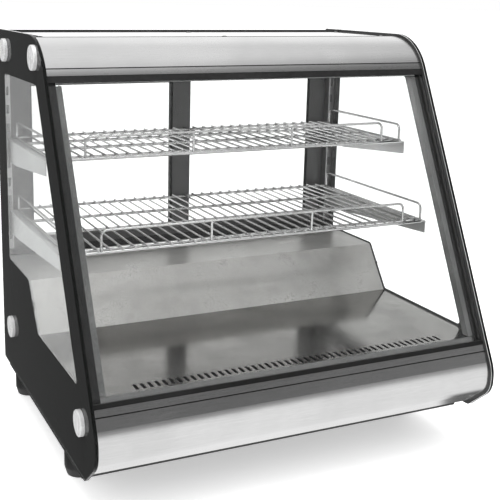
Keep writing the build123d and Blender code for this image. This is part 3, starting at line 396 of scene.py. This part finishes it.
def grid_faces(rows, columns, wrap_rows=False, wrap_columns=False):
    """Quads of a rows by columns grid of points, row after row, closed round where asked."""
    r = np.arange(rows if wrap_rows else rows - 1)[:, None]
    c = np.arange(columns if wrap_columns else columns - 1)[None, :]
    r_next, c_next = (r + 1) % rows, (c + 1) % columns
    corners = [r * columns + c, r_next * columns + c, r_next * columns + c_next, r * columns + c_next]
    return np.stack(corners, -1).reshape(-1, 4)


def circle(radius, steps):
    """(u, v) pairs round a circle: radius times the cosine and the sine of even angles."""
    turn = np.linspace(0, 2 * np.pi, steps, endpoint=False)
    return np.stack([radius * np.cos(turn), radius * np.sin(turn)], -1)


def slab(u_axis, v_axis, outline, thickness, centre):
    """Flat closed slab: the outline's points scaled about its middle from a small share to full size make
    the rings of both faces, and the rim joins them. u_axis x v_axis points out of the front face."""
    u_axis, v_axis = Vector(u_axis), Vector(v_axis)
    normal = u_axis.cross(v_axis)
    outline = np.asarray(outline, float)
    middle = outline.mean(0)
    shares = np.array([TIP, 0.96, 1.0, 1.0, 0.96, TIP])
    depths = np.array([1.0, 1.0, 0.85, 0.0, 0.0, 0.0]) * thickness
    flat = middle + (outline[None] - middle) * shares[:, None, None]
    points = (np.array(centre) + flat[..., :1] * np.array(u_axis) + flat[..., 1:] * np.array(v_axis)
              + depths[:, None, None] * np.array(normal))
    return points.reshape(-1, 3), grid_faces(len(shares), len(outline), wrap_columns=True)


def turned(profile, centre, axis, steps):
    """Surface of revolution: each (radius, distance along the axis) is turned round the axis."""
    axis = Vector(axis).normalized()
    side = axis.orthogonal().normalized()
    other = axis.cross(side)
    profile = np.asarray(profile, float)
    around = circle(1.0, steps)
    ring = around[:, :1] * np.array(side) + around[:, 1:] * np.array(other)
    points = (np.array(centre) + profile[:, None, :1] * ring[None]
              + profile[:, None, 1:] * np.array(axis))
    return points.reshape(-1, 3), grid_faces(len(profile), steps, wrap_columns=True)


def carried_round(profile, path, across, up):
    """A closed profile of (across, up) pairs carried round the path's points, back to its start."""
    path, profile = np.asarray(path, float), np.asarray(profile, float)
    points = (path[:, None] + profile[None, :, :1] * np.asarray(across)[:, None]
              + profile[None, :, 1:] * np.asarray(up)[:, None])
    return points.reshape(-1, 3), grid_faces(len(path), len(profile), True, True)


def straight_bar(section, start, end):
    """A section of (across, up) pairs carried from start to end, up being Z; both ends are drawn together."""
    start, end = np.array(start), np.array(end)
    along = (end - start) / np.linalg.norm(end - start)
    across = np.cross(along, Z_AXIS)
    stops = np.array([0.0, 0.0, 1.0, 1.0])[:, None, None]
    shrink = np.array([TIP, 1.0, 1.0, TIP])[:, None, None]
    points = (start + stops * (end - start) + section[None, :, :1] * shrink * across
              + section[None, :, 1:] * shrink * Z_AXIS)
    return points.reshape(-1, 3), grid_faces(4, len(section), wrap_columns=True)


# ---- extra pieces -------------------------------------------------------------------------
def low_high(node):
    """Lowest and highest corner of a node's box, as arrays."""
    low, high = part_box(node)
    return np.array(low), np.array(high)


PANE_LOW, PANE_HIGH = low_high("front_glass")
REAR_LOW, REAR_HIGH = low_high("rear_panel")
PANEL_LOW, PANEL_HIGH = low_high("control_panel")


def slope_point(height, depth):
    """(y, z) on the front glass: depth is measured square to the glass from its outer face."""
    y = PANE_LOW[1] + (height - PANE_LOW[2]) * math.tan(GLASS_LEAN)
    return y + depth / math.cos(GLASS_LEAN), height


def slope_band(name, x_range, z_range, depth_range, material):
    """Thin band along the front glass. Its section is a squarish oval: cosine and sine to a small power, by
    half the width and half the thickness. The section is carried up the slope and drawn together at both
    ends."""
    x_range, depth_range = np.sort(x_range), np.array(depth_range)
    turn = np.linspace(0, 2 * np.pi, 24, endpoint=False)
    squareness = 0.35
    across, along = (np.sign(wave) * np.abs(wave) ** squareness for wave in (np.cos(turn), np.sin(turn)))
    across = across * (x_range[1] - x_range[0]) / 2
    along = along * (depth_range[1] - depth_range[0]) / 2
    z_low, z_high = z_range
    heights = np.concatenate([[z_low, z_low], np.linspace(z_low, z_high, 24), [z_high, z_high]])
    shrink = np.ones(len(heights))
    shrink[[0, -1]] = TIP
    depth = depth_range.mean() + along[None, :] * shrink[:, None]
    y, z = slope_point(heights[:, None], depth)
    x = x_range.mean() + across[None, :] * shrink[:, None]
    points = np.stack(np.broadcast_arrays(x, y, np.broadcast_to(z, x.shape)), -1).reshape(-1, 3)
    return surface_object(name, [(points, grid_faces(len(heights), len(turn), wrap_columns=True))],
                          material, "root")


def front_glass_edges():
    """Dark printed strips behind both ends of the front glass, and the sealant bead beside them."""
    glass_end, side_face = PANE_HIGH[0], low_high("side_glass_right")[0][0]
    print_width, print_gap, print_film = 0.0125, 0.00005, 0.0003
    for side, s in (("left", -1), ("right", 1)):
        slope_band(f"front_glass_print_{side}", (s * (glass_end - 0.0002), s * (glass_end - print_width)),
                   (PANE_LOW[2] + 0.001, PANE_HIGH[2] - 0.001),
                   (GLASS_THICK + print_gap, GLASS_THICK + print_gap + print_film), BLACK_PRINT)
        slope_band(f"front_glass_sealant_{side}", (s * (glass_end + 0.0001), s * (side_face - 0.0005)),
                   (PANE_LOW[2] + 0.005, PANE_HIGH[2] - 0.02), (0.0004, GLASS_THICK),
                   FINISHES["black_rubber"])


def rounded_rectangle(width, height, radius, steps=6):
    """Corner arcs of a rectangle, in order round it, as (u, v) pairs."""
    turn = np.linspace(0, np.pi / 2, steps)
    corners = []
    for k, (sx, sy) in enumerate(((1, 1), (-1, 1), (-1, -1), (1, -1))):
        angle = turn + k * np.pi / 2
        corners.append(np.stack([sx * (width / 2 - radius) + radius * np.cos(angle),
                                 sy * (height / 2 - radius) + radius * np.sin(angle)], -1))
    return np.concatenate(corners)


def door_beads():
    """Rubber bead round each door's pane, front and back: a quarter-round carried round the opening, square
    to its edges and mitred at the corners."""
    hidden_rim, reach, play, corner = 0.007, 0.0026, 0.0001, 0.0006
    turn = np.linspace(0, np.pi / 2, 7)
    arc = np.stack([reach * np.cos(turn), reach * np.sin(turn)], -1)
    quarter = np.concatenate([[[0.0, 0.0]], arc])
    for side in ("left", "right"):
        pane_low, pane_high = low_high(f"door_glass_{side}")
        width = pane_high[0] - pane_low[0] - 2 * hidden_rim
        height = pane_high[2] - pane_low[2] - 2 * hidden_rim
        centre = (pane_low + pane_high) / 2
        loop = rounded_rectangle(width - 2 * play, height - 2 * play, corner)
        near_edge = np.abs(loop) > np.array([width, height]) / 2 - 2 * corner
        inward = -np.sign(loop) * near_edge
        across = np.stack([inward[:, 0], np.zeros(len(loop)), inward[:, 1]], -1)
        parts = []
        for face_y, direction in ((pane_low[1], -1), (pane_high[1], 1)):
            profile = quarter[::-1] if direction < 0 else quarter
            path = np.stack([centre[0] + loop[:, 0], np.full(len(loop), face_y), centre[2] + loop[:, 1]], -1)
            up = np.tile([0.0, float(direction), 0.0], (len(loop), 1))
            parts.append(carried_round(profile, path, across, up))
        surface_object(f"door_bead_{side}", parts, FINISHES["black_rubber"], f"door_{side}")


def screw_head(centre, axis, radius, height):
    """Domed screw head with a cross recess: over (radius, angle) the height is a dome less a flat-bottomed
    slot wherever the point lies within a slot's half width of either cross line."""
    axis = Vector(axis).normalized()
    side = axis.orthogonal().normalized()
    other = axis.cross(side)
    slot_half, slot_reach, slot_depth, steps = 0.13, 0.56, 0.55, 32
    share = np.array([1.0, 1.0, 0.94, 0.82, 0.66, 0.56, 0.5, 0.36, 0.2, 0.04])
    lift = np.array([0.0, 0.45, 0.72, 0.88, 0.95, 0.97, 0.98, 0.99, 1.0, 1.0])
    around = circle(1.0, steps)
    r = share[:, None] * radius
    u, v = r * around[:, 0], r * around[:, 1]
    on_cross = (np.abs(u) < slot_half * radius) | (np.abs(v) < slot_half * radius)
    in_slot = on_cross & (share[:, None] <= slot_reach)
    z = height * (lift[:, None] - slot_depth * in_slot)
    points = (np.array(centre) + u[..., None] * np.array(side) + v[..., None] * np.array(other)
              + z[..., None] * np.array(axis))
    return points.reshape(-1, 3), grid_faces(len(share), steps, wrap_columns=True)


def screw_set(name, spots, axis, radius, height):
    surface_object(name, [screw_head(spot, axis, radius, height) for spot in spots],
                   SCREW_STEEL, "root")


def screws():
    """Screw heads that hold the rear panel, the rear top rail, the top cover and the control panel."""
    backwards, edge = (0, 1, 0), 0.012
    sides = (REAR_LOW[0] + edge, REAR_HIGH[0] - edge)
    heights = (REAR_LOW[2] + edge, (REAR_LOW[2] + REAR_HIGH[2]) / 2, REAR_HIGH[2] - 0.014)
    spots = [(x, REAR_HIGH[1], z) for x in sides for z in heights]
    spots += [(x, REAR_HIGH[1], REAR_LOW[2] + edge) for x in (-0.11, 0.03)]
    screw_set("rear_panel_screws", spots, backwards, 0.0038, 0.0020)

    rail_low, rail_high = low_high("rear_top_rail")
    rail_z = (rail_low[2] + rail_high[2]) / 2
    screw_set("top_rail_screws", [(x, rail_high[1], rail_z) for x in (-0.31, -0.105, 0.105, 0.31)],
              backwards, 0.0036, 0.0018)

    low, high = low_high("top_cover")
    spots = [(x, y, high[2]) for x in (low[0] + 0.018, 0.0, high[0] - 0.018)
             for y in (low[1] + 0.016, high[1] - 0.016)]
    screw_set("top_cover_screws", spots, Z_AXIS, 0.0040, 0.0016)

    middle = (PANEL_LOW[2] + PANEL_HIGH[2]) / 2
    spots = [(x, PANEL_HIGH[1], middle) for x in (PANEL_LOW[0] + 0.0055, PANEL_HIGH[0] - 0.0055)]
    screw_set("control_screws", spots, backwards, 0.0024, 0.0009)


def groove_shade_strips():
    """Black strips laid in the fine grooves of the canopy and the front fascia, as painted shade of the
    grooves: a flat oval section, leaning with the front slope, carried along X."""
    canopy_low, canopy_high = low_high("canopy")
    fascia_high = low_high("front_fascia")[1]
    face = (canopy_low[1] - slope_point(canopy_low[2], 0.0)[0]) * math.cos(GLASS_LEAN)
    half_width, half_depth, sunk, end_gap = 0.0007, 0.00028, 0.0004, 0.0006
    oval = circle(1.0, 12)
    for name, height, end in (("canopy_groove_shade", canopy_low[2] + 0.0103, canopy_high[0]),
                              ("fascia_groove_shade", fascia_high[2] - 0.0101, fascia_high[0])):
        y, z = slope_point(height + half_width * oval[:, 0], face + sunk + half_depth * oval[:, 1])
        section = np.stack([y.mean() - y, z - z.mean()], -1)
        half = end - end_gap
        bar = straight_bar(section, (-half, y.mean(), z.mean()), (half, y.mean(), z.mean()))
        # black rubber finish on these strips is painted shade in the groove
        surface_object(name, [bar], FINISHES["black_rubber"], "root")


def half_round(width, height):
    """Section with a flat foot: cosine by half the width, and a flattened sine by the height."""
    turn = np.linspace(0, np.pi, 11)
    back = np.stack([np.cos(turn), np.sin(turn) ** 0.4], -1) * (width / 2, height)
    return np.concatenate([back, [[-width / 2, 0.0], [width / 2, 0.0]]])


def roof_strips():
    """Black strips on the roof: a low bar along the rear edge, a thin one over the joint with the canopy and
    one inside each side glass."""
    low, high = low_high("top_cover")
    roof = high[2]
    end, inset = high[0] - 0.0005, 0.016
    rear_y, joint_y = high[1] + 0.004, low[1] - 0.0006
    front_stop, rear_stop = low[1] + 0.002, high[1] - 0.002
    rear = [straight_bar(half_round(0.008, 0.0045), (-end, rear_y, roof), (end, rear_y, roof))]
    joint = [straight_bar(half_round(0.0022, 0.0012), (-end, joint_y, roof), (end, joint_y, roof))]
    sides = [straight_bar(half_round(0.003, 0.0016), (x, front_stop, roof), (x, rear_stop, roof))
             for x in (inset - end, end - inset)]
    for name, bars in (("roof_strip_rear", rear), ("roof_strip_joint", joint), ("roof_strips_side", sides)):
        surface_object(name, bars, FINISHES["black_trim"], "root")


# ---- controls: digits and marks -----------------------------------------------------------
SEGMENTS = {"4": "bcfg", "0": "abcdef"}
# each segment's middle in half widths and half heights of the digit, and whether it stands upright
SEGMENT_PLACES = {"a": (0, 1, False), "b": (1, 0.5, True), "c": (1, -0.5, True), "d": (0, -1, False),
                  "e": (-1, -0.5, True), "f": (-1, 0.5, True), "g": (0, 0, False)}
REAR_U, REAR_V = (-1.0, 0.0, 0.0), (0.0, 0.0, 1.0)   # right and up as seen from behind


def rear_middle(node):
    """Middle of a node's rear-facing side."""
    low, high = low_high(node)
    return np.array([(low[0] + high[0]) / 2, high[1], (low[2] + high[2]) / 2])


def display_digits():
    """Seven-segment digits with a point between them: each segment is a slab with six corners, pointed at
    both ends, and the point is a small disc."""
    window_sunk, display_offset, film = 0.0015, 0.038, 0.0003
    middle_x = rear_middle("button_set")[0] - display_offset
    middle_z = (PANEL_LOW[2] + PANEL_HIGH[2]) / 2
    face = PANEL_HIGH[1] - window_sunk + 0.00005
    half_w, half_h, thick, point, digit_pitch, closeness = 0.0036, 0.0066, 0.0009, 0.0006, 0.0144, 0.94
    parts = []
    for index, digit in enumerate("40"):
        digit_x = middle_x + digit_pitch / 2 - index * digit_pitch
        for letter in SEGMENTS[digit]:
            px, pz, upright = SEGMENT_PLACES[letter]
            reach = (half_h / 2 if upright else half_w) - point
            bar = np.array([(-reach - point, 0), (-reach, -thick), (reach, -thick), (reach + point, 0),
                            (reach, thick), (-reach, thick)])
            if upright:
                bar = np.stack([-bar[:, 1], bar[:, 0]], -1)
            bar = bar * closeness + np.array([px * half_w, pz * half_h])
            parts.append(slab(REAR_U, REAR_V, bar, film, (digit_x, face, middle_z)))
    dot = circle(0.001, 16) + np.array([0.0, -half_h])
    parts.append(slab(REAR_U, REAR_V, dot, film, (middle_x, face, middle_z)))
    surface_object("display_digits", parts, DIGIT_GLOW, "root", smooth=False)


def ring_band(centre, inner, outer, thickness):
    """Flat ring seen from behind: a rectangular profile carried round a circle."""
    around = circle(1.0, 28)
    path = np.tile(np.array(centre), (len(around), 1))
    across = around[:, :1] * np.array(REAR_U) + around[:, 1:] * np.array(REAR_V)
    up = np.tile([0.0, 1.0, 0.0], (len(around), 1))
    profile = [(inner, 0.0), (outer, 0.0), (outer, thickness), (inner, thickness)]
    return carried_round(profile, path, across, up)


def control_marks():
    """Plain marks: a ring on the set button, arrowheads on the up and down buttons, a bar on each rocker."""
    film = 0.0002
    proud = np.array([0.0, 0.00003, 0.0])
    ring = ring_band(rear_middle("button_set") + proud, 0.0016, 0.0023, film)
    surface_object("mark_set", [ring], WHITE_PRINT, "button_set", smooth=False)
    arrow = np.array([(-0.0024, -0.0012), (0.0024, -0.0012), (0.0, 0.0020)])
    for name, sign in (("up", 1), ("down", -1)):
        mark = slab(REAR_U, REAR_V, arrow * sign, film, rear_middle(f"button_{name}") + proud)
        surface_object(f"mark_{name}", [mark], WHITE_PRINT, f"button_{name}", smooth=False)
    lean, crest, bar_half_w, bar_half_h = math.radians(12.0), 0.001, 0.0004, 0.0022
    bar = np.array([(-1, -1), (1, -1), (1, 1), (-1, 1)]) * (bar_half_w, bar_half_h)
    for name in ("power", "light"):
        low, high = low_high(f"rocker_{name}")
        quarter = (high[2] - low[2]) / 4
        spot = ((low[0] + high[0]) / 2, PANEL_HIGH[1] + crest + quarter * math.tan(lean) + 0.00015,
                (low[2] + high[2]) / 2 - quarter)
        mark = slab(REAR_U, (0, -math.sin(lean), math.cos(lean)), bar, film, spot)
        surface_object(f"mark_rocker_{name}", [mark], WHITE_PRINT, f"rocker_{name}",
                       smooth=False)


# ---- gland and coils ----------------------------------------------------------------------
def gland_boot():
    """Ribbed rubber boot on the cord gland: a turned profile whose radius falls in steps, hollow inside."""
    centre = rear_middle("cord_gland")
    bore, length, ribs, wide, narrowing, rib = 0.0044, 0.0085, 4, 0.0084, 0.0022, 0.0006
    steps = np.linspace(0, 1, ribs * 6 + 1)
    radius = wide - narrowing * steps + rib * (np.cos(steps * ribs * 2 * np.pi) > 0)
    foot = 0.0001
    profile = ([(bore, 0.0)] + [(r, foot + length * s) for r, s in zip(radius, steps)]
               + [(bore, foot + length), (bore, 0.0)])
    surface_object("cord_gland_boot", [turned(profile, centre, (0, 1, 0), 40)],
                   FINISHES["black_rubber"], "root")


def fin_pack(name, node, pitch, margin, height_share):
    """Thin fins between a coil's end plates, over the upper share of its height: every fin is a flat sleeve
    along Y, and its section is shifted sideways by a sine of its height."""
    low, high = low_high(node)
    start, stop = low[0] + margin, high[0] - margin
    count = int((stop - start) / pitch)
    edge, wave_height, half_thick = 0.0006, 0.0004, 0.00015
    v = np.linspace(0, 1, 5)
    foot = high[2] - (high[2] - low[2]) * height_share
    z = foot + v * (high[2] - edge - foot)
    wave = wave_height * np.sin(v * 4 * np.pi)
    ring_x = np.concatenate([wave - half_thick, (wave + half_thick)[::-1]])
    ring_z = np.concatenate([z, z[::-1]])
    parts = []
    for i in range(count):
        x = start + (i + 0.5) * (stop - start) / count + ring_x
        rings = [np.stack([x, np.full(len(x), y), ring_z], -1) for y in (low[1] + edge, high[1] - edge)]
        parts.append((np.concatenate(rings), grid_faces(2, len(x), wrap_columns=True)))
    surface_object(name, parts, FINISHES["fin_metal"], "root", smooth=False)


front_glass_edges()
door_beads()
screws()
roof_strips()
groove_shade_strips()
display_digits()
control_marks()
gland_boot()
fin_pack("condenser_fins", "condenser_coil", 0.0032, 0.0125, 0.92)
fin_pack("evaporator_fins", "evaporator_coil", 0.0042, 0.0135, 0.91)


# ---- stage --------------------------------------------------------------------------------
def mirror_rays(tree):
    """1 for a ray that a surface mirrors, 0 for one that comes straight or through glass."""
    paths = add(tree, "ShaderNodeLightPath")
    straight = math_node(tree, "SUBTRACT", 1.0, paths.outputs["Is Transmission Ray"])
    return math_node(tree, "MULTIPLY", paths.outputs["Is Glossy Ray"], straight)


def floor_material():
    """Near-white floor with a faint glow that keeps shadows light; mirror rays see it as one even tone,
    white in front of the case and dark on both its sides, as between two dark screens."""
    glow = {"Emission Color": WHITE, "Emission Strength": 0.42}
    material = finish("floor_pale", 0.95, 0.94, (0.7, 0.8), grain=(40.0, 0.00002), constants=glow)
    tree = material.node_tree
    sink = next(node for node in tree.nodes if node.type == "OUTPUT_MATERIAL")
    body = next(node for node in tree.nodes if node.type == "BSDF_PRINCIPLED")
    split = add(tree, "ShaderNodeSeparateXYZ")
    feed(tree, split.inputs[0], add(tree, "ShaderNodeTexCoord").outputs["Object"])
    edge, front = CAD_BOX[1][0], CAD_BOX[0][1]
    bright, dark = 0.98, 0.14
    aside = math_node(tree, "ABSOLUTE", split.outputs["X"])
    beside = ramp_node(tree, aside, edge - 0.01, edge + 0.01)
    behind = ramp_node(tree, split.outputs["Y"], front - 0.03, front + 0.03)
    screens = math_node(tree, "MULTIPLY", beside, behind)
    even = add(tree, "ShaderNodeEmission")
    feed(tree, even.inputs[1], ramp_node(tree, screens, 0.0, 1.0, bright, dark))
    feed(tree, sink.inputs["Surface"], mix_shaders(tree, mirror_rays(tree), body.outputs[0], even.outputs[0]))
    return material


def floor():
    """Level floor: a disc of rings wide enough to reach the horizon, closed by one face in the middle."""
    steps, below = 64, 0.0002
    radii = np.geomspace(0.05, 60.0, 24)
    points, faces = turned([(r, 0.0) for r in radii[::-1]], (0, 0, -below), Z_AXIS, steps)
    middle = list(range(len(points) - steps, len(points)))
    mesh = bpy.data.meshes.new("floor")
    mesh.from_pydata(points.tolist(), [], faces.tolist() + [middle])
    mesh.update()
    plane = bpy.data.objects.new("floor", mesh)
    bpy.context.collection.objects.link(plane)
    mesh.materials.append(floor_material())


def soft_light(name, place, target, size, energy):
    """Rectangular lamp that points at the target; its own shape isn't mirrored in the metal."""
    data = bpy.data.lights.new(name, "AREA")
    data.shape, data.size, data.size_y, data.energy = "RECTANGLE", size[0], size[1], energy
    lamp = bpy.data.objects.new(name, data)
    bpy.context.collection.objects.link(lamp)
    lamp.location = place
    lamp.visible_glossy = False
    lamp.rotation_mode = "QUATERNION"
    lamp.rotation_quaternion = (Vector(target) - Vector(place)).to_track_quat("-Z", "Y")
    return lamp


def lamps():
    """A broad light overhead, a smaller one on the left, and the case's own lamp under its ceiling."""
    soft_light("overhead_light", (-0.2, -0.3, 2.6), (0, 0, 0.2), (2.4, 2.4), 60.0)
    soft_light("left_light", (-2.4, -0.9, 1.6), (0, 0, 0.35), (1.6, 1.6), 16.0)
    low, high = low_high("lamp_diffuser")
    middle_y = (low[1] + high[1]) / 2
    strip = soft_light("case_lamp", (0, middle_y, low[2] - 0.001), (0, middle_y, 0),
                       (high[0] - low[0], high[1] - low[1]), 2.2)
    strip.visible_camera = False


def surroundings():
    """White surroundings. What the metal mirrors is a softer set: bright behind the case, overhead and along
    the floor in front, and dim between them and on the left."""
    bpy.context.scene.view_settings.view_transform = "Standard"
    world = bpy.data.worlds.new("studio")
    bpy.context.scene.world = world
    world.use_nodes = True
    tree = world.node_tree
    tree.nodes.clear()
    split = add(tree, "ShaderNodeSeparateXYZ")
    feed(tree, split.inputs[0], add(tree, "ShaderNodeTexCoord").outputs["Generated"])
    back = ramp_node(tree, split.outputs["Y"], -0.1, 0.6, 0.0, 1.0)
    right = ramp_node(tree, split.outputs["X"], -0.25, 0.15)
    over = ramp_node(tree, split.outputs["Z"], 0.66, 0.86, 0.0, 0.86)
    low = ramp_node(tree, split.outputs["Z"], 0.06, 0.32, 0.84, 0.0)
    bright = math_node(tree, "MULTIPLY", math_node(tree, "MAXIMUM", back, low), right)
    bright = math_node(tree, "MAXIMUM", bright, over)
    dimmest = 0.11
    mirrored = add(tree, "ShaderNodeBackground")
    feed(tree, mirrored.inputs[1], math_node(tree, "ADD", dimmest, bright))
    plain = add(tree, "ShaderNodeBackground")
    plain.inputs[1].default_value = 1.0
    for surround in (mirrored, plain):
        surround.inputs[0].default_value = WHITE
    both = mix_shaders(tree, mirror_rays(tree), plain.outputs[0], mirrored.outputs[0])
    feed(tree, add(tree, "ShaderNodeOutputWorld").inputs["Surface"], both)


def camera():
    """Camera in front of the case's left corner, a little above it, level but for a slight roll."""
    place, yaw, pitch, roll = (-0.698, -1.402, 0.750), 0.423, 0.217, 0.017
    forward = Vector((math.sin(yaw) * math.cos(pitch), math.cos(yaw) * math.cos(pitch), -math.sin(pitch)))
    level = Vector((math.cos(yaw), -math.sin(yaw), 0.0))
    upright = level.cross(forward)
    right = math.cos(roll) * level + math.sin(roll) * upright
    up = math.cos(roll) * upright - math.sin(roll) * level
    data = bpy.data.cameras.new("camera")
    data.sensor_width, data.lens = 36.0, 67.1
    data.shift_x, data.shift_y = 0.1, -0.1
    data.clip_start, data.clip_end = 0.05, 200.0
    item = bpy.data.objects.new("camera", data)
    bpy.context.collection.objects.link(item)
    turn = Matrix((right, up, -forward)).transposed().to_4x4()
    item.matrix_world = Matrix.Translation(place) @ turn
    bpy.context.scene.camera = item


floor()
surroundings()
lamps()
camera()
